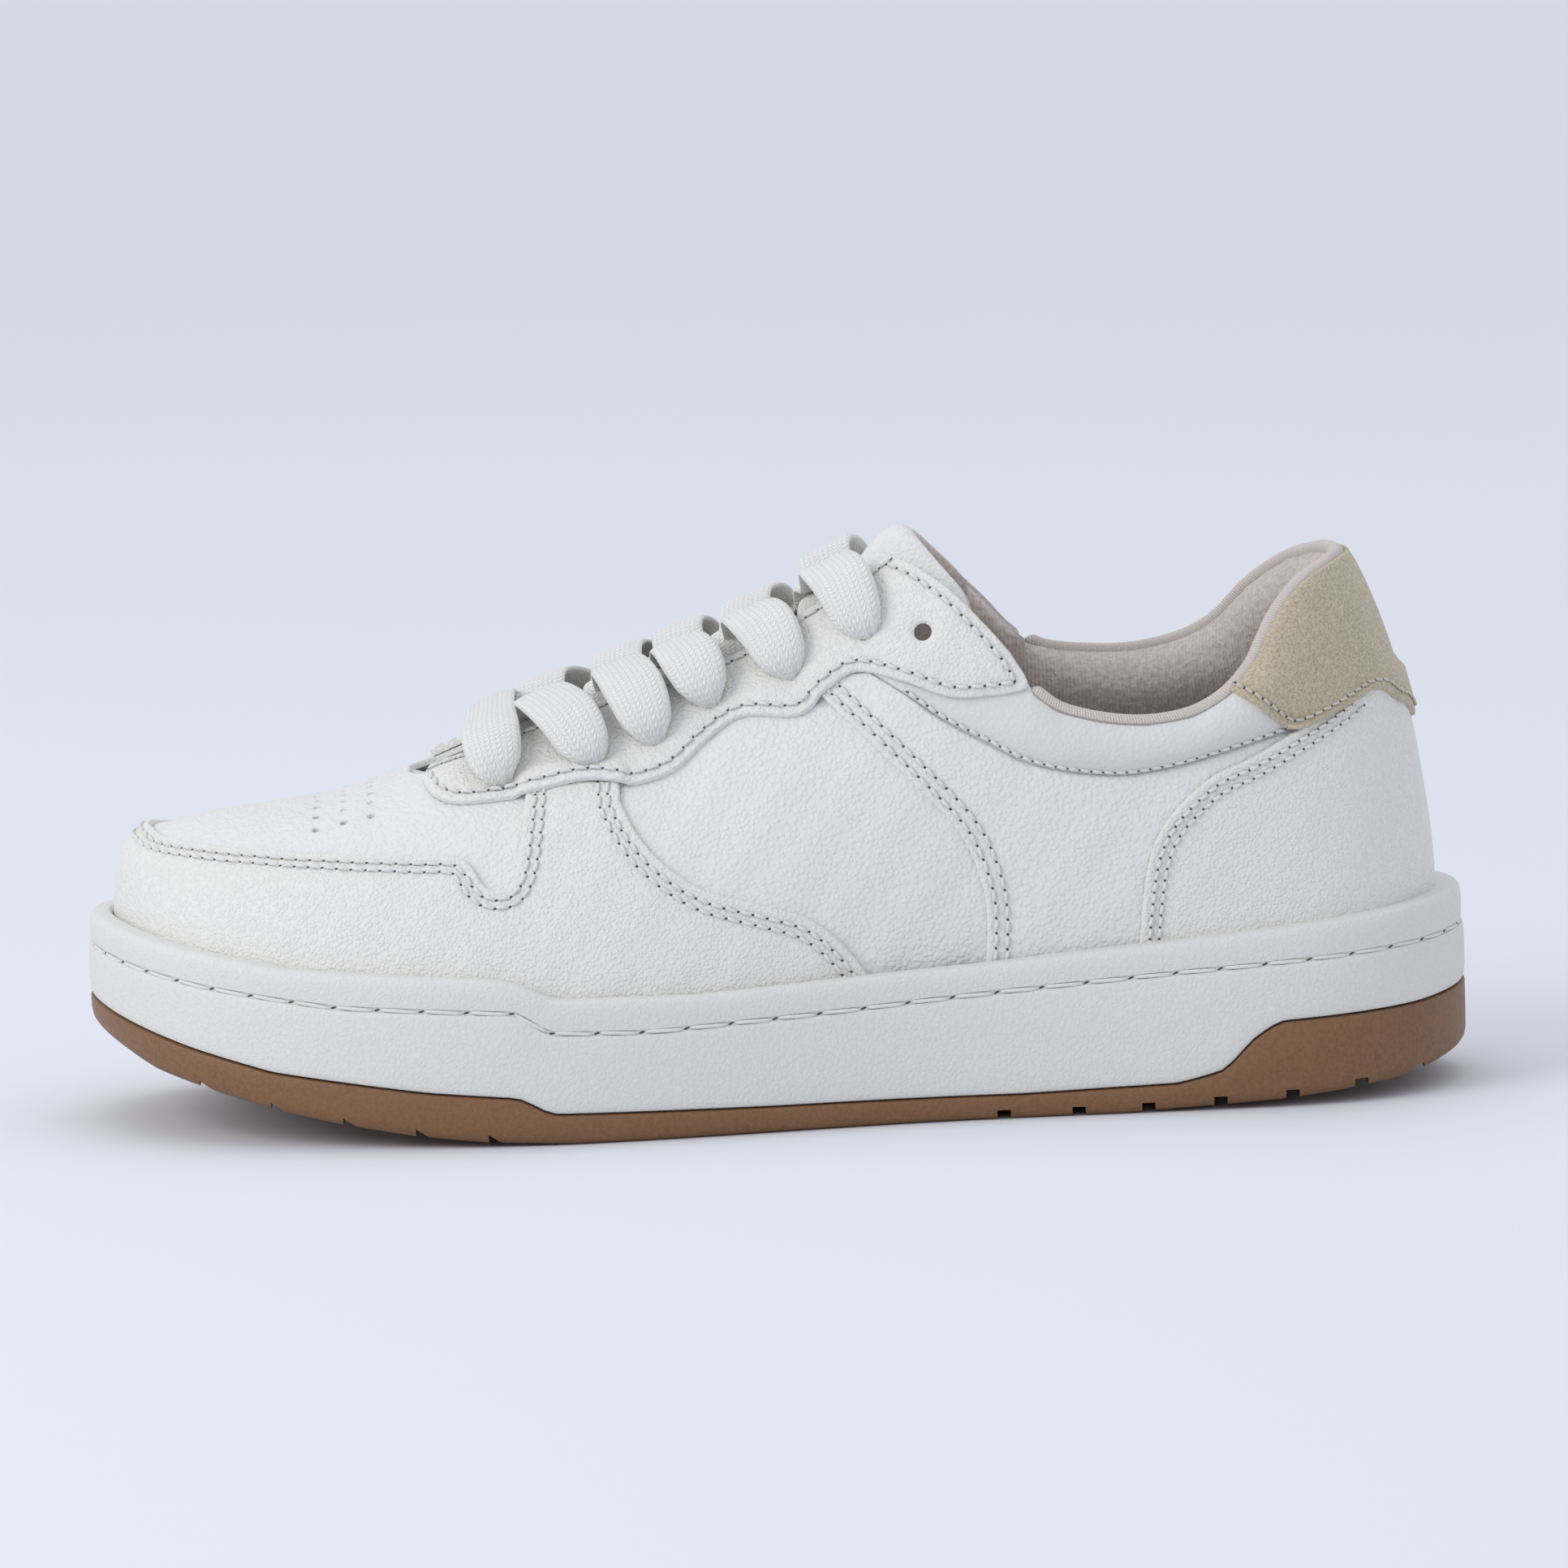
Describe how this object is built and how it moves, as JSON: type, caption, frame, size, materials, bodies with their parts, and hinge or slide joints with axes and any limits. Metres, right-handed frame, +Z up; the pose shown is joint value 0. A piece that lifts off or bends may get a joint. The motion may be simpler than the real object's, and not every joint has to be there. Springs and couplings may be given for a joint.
{
  "type": "court shoe",
  "caption": "Low lace-up court shoe for the left foot: white leather panels on a white cupsole with a gum outsole, tan suede heel tab and padded knit-lined collar.",
  "frame": {"origin": "on the ground plane, under the middle of the shoe's bounding box", "axes": "+X towards the heel, -X towards the toe, -Y towards the outer side of the left foot, +Z up"},
  "size_m": [0.27, 0.1042, 0.1124],
  "materials": {
    "white_leather": "pebbled grain, matt, cool white",
    "warm_leather": "fine grain, matt, slightly warmer white",
    "collar_leather": "smooth, softly padded",
    "suede": "short tan nap with darker flecks",
    "knit_lining": "brushed beige knit",
    "knit_binding": "finely ribbed beige knit",
    "gum_rubber": "matt gum brown with a fine speckle",
    "white_rubber": "matt white with a faint leather texture",
    "foam": "open foam",
    "board": "pressed fibre",
    "cotton_lace": "flat woven cotton",
    "lace_tip": "clear film"
  },
  "bodies": {
    "shoe": {"outsole": "gum_rubber", "cupsole": "white_rubber", "midsole_foam": "foam", "insole_board": "board", "toe_puff": "board", "heel_stiffener": "board", "vamp": "white_leather", "toe_overlay": "warm_leather", "vamp_lining": "knit_lining", "quarter_lateral": "white_leather", "quarter_medial": "white_leather", "rear_quarter_lateral": "white_leather", "rear_quarter_medial": "white_leather", "collar_panel_lateral": "collar_leather", "collar_panel_medial": "collar_leather", "collar_lining_lateral": "knit_lining", "collar_lining_medial": "knit_lining", "collar_foam": "foam", "collar_binding": "knit_binding", "eyestay_lateral": "warm_leather", "eyestay_medial": "warm_leather", "heel_overlay": "warm_leather", "heel_tab": "suede", "lace": "cotton_lace", "aglet_lateral": "lace_tip", "aglet_medial": "lace_tip"},
    "tongue": {"tongue_leather": "white_leather", "tongue_foam": "foam", "tongue_lining": "knit_lining"},
    "sockliner": {"sockliner": "knit_lining"}
  },
  "joints": [
    {"name": "tongue_hinge", "type": "hinge", "parent": "shoe", "child": "tongue", "pos_m": [-0.058, 0, 0.0605], "axis": [0, 1, 0], "range_deg": [0, 12], "stiffness_Nm_per_rad": 0.06, "springref_deg": -17.19},
    {"name": "sockliner_lift", "type": "hinge", "parent": "shoe", "child": "sockliner", "pos_m": [-0.1226, 0, 0.0272], "axis": [0, -1, 0], "range_deg": [0, 4]}
  ]
}
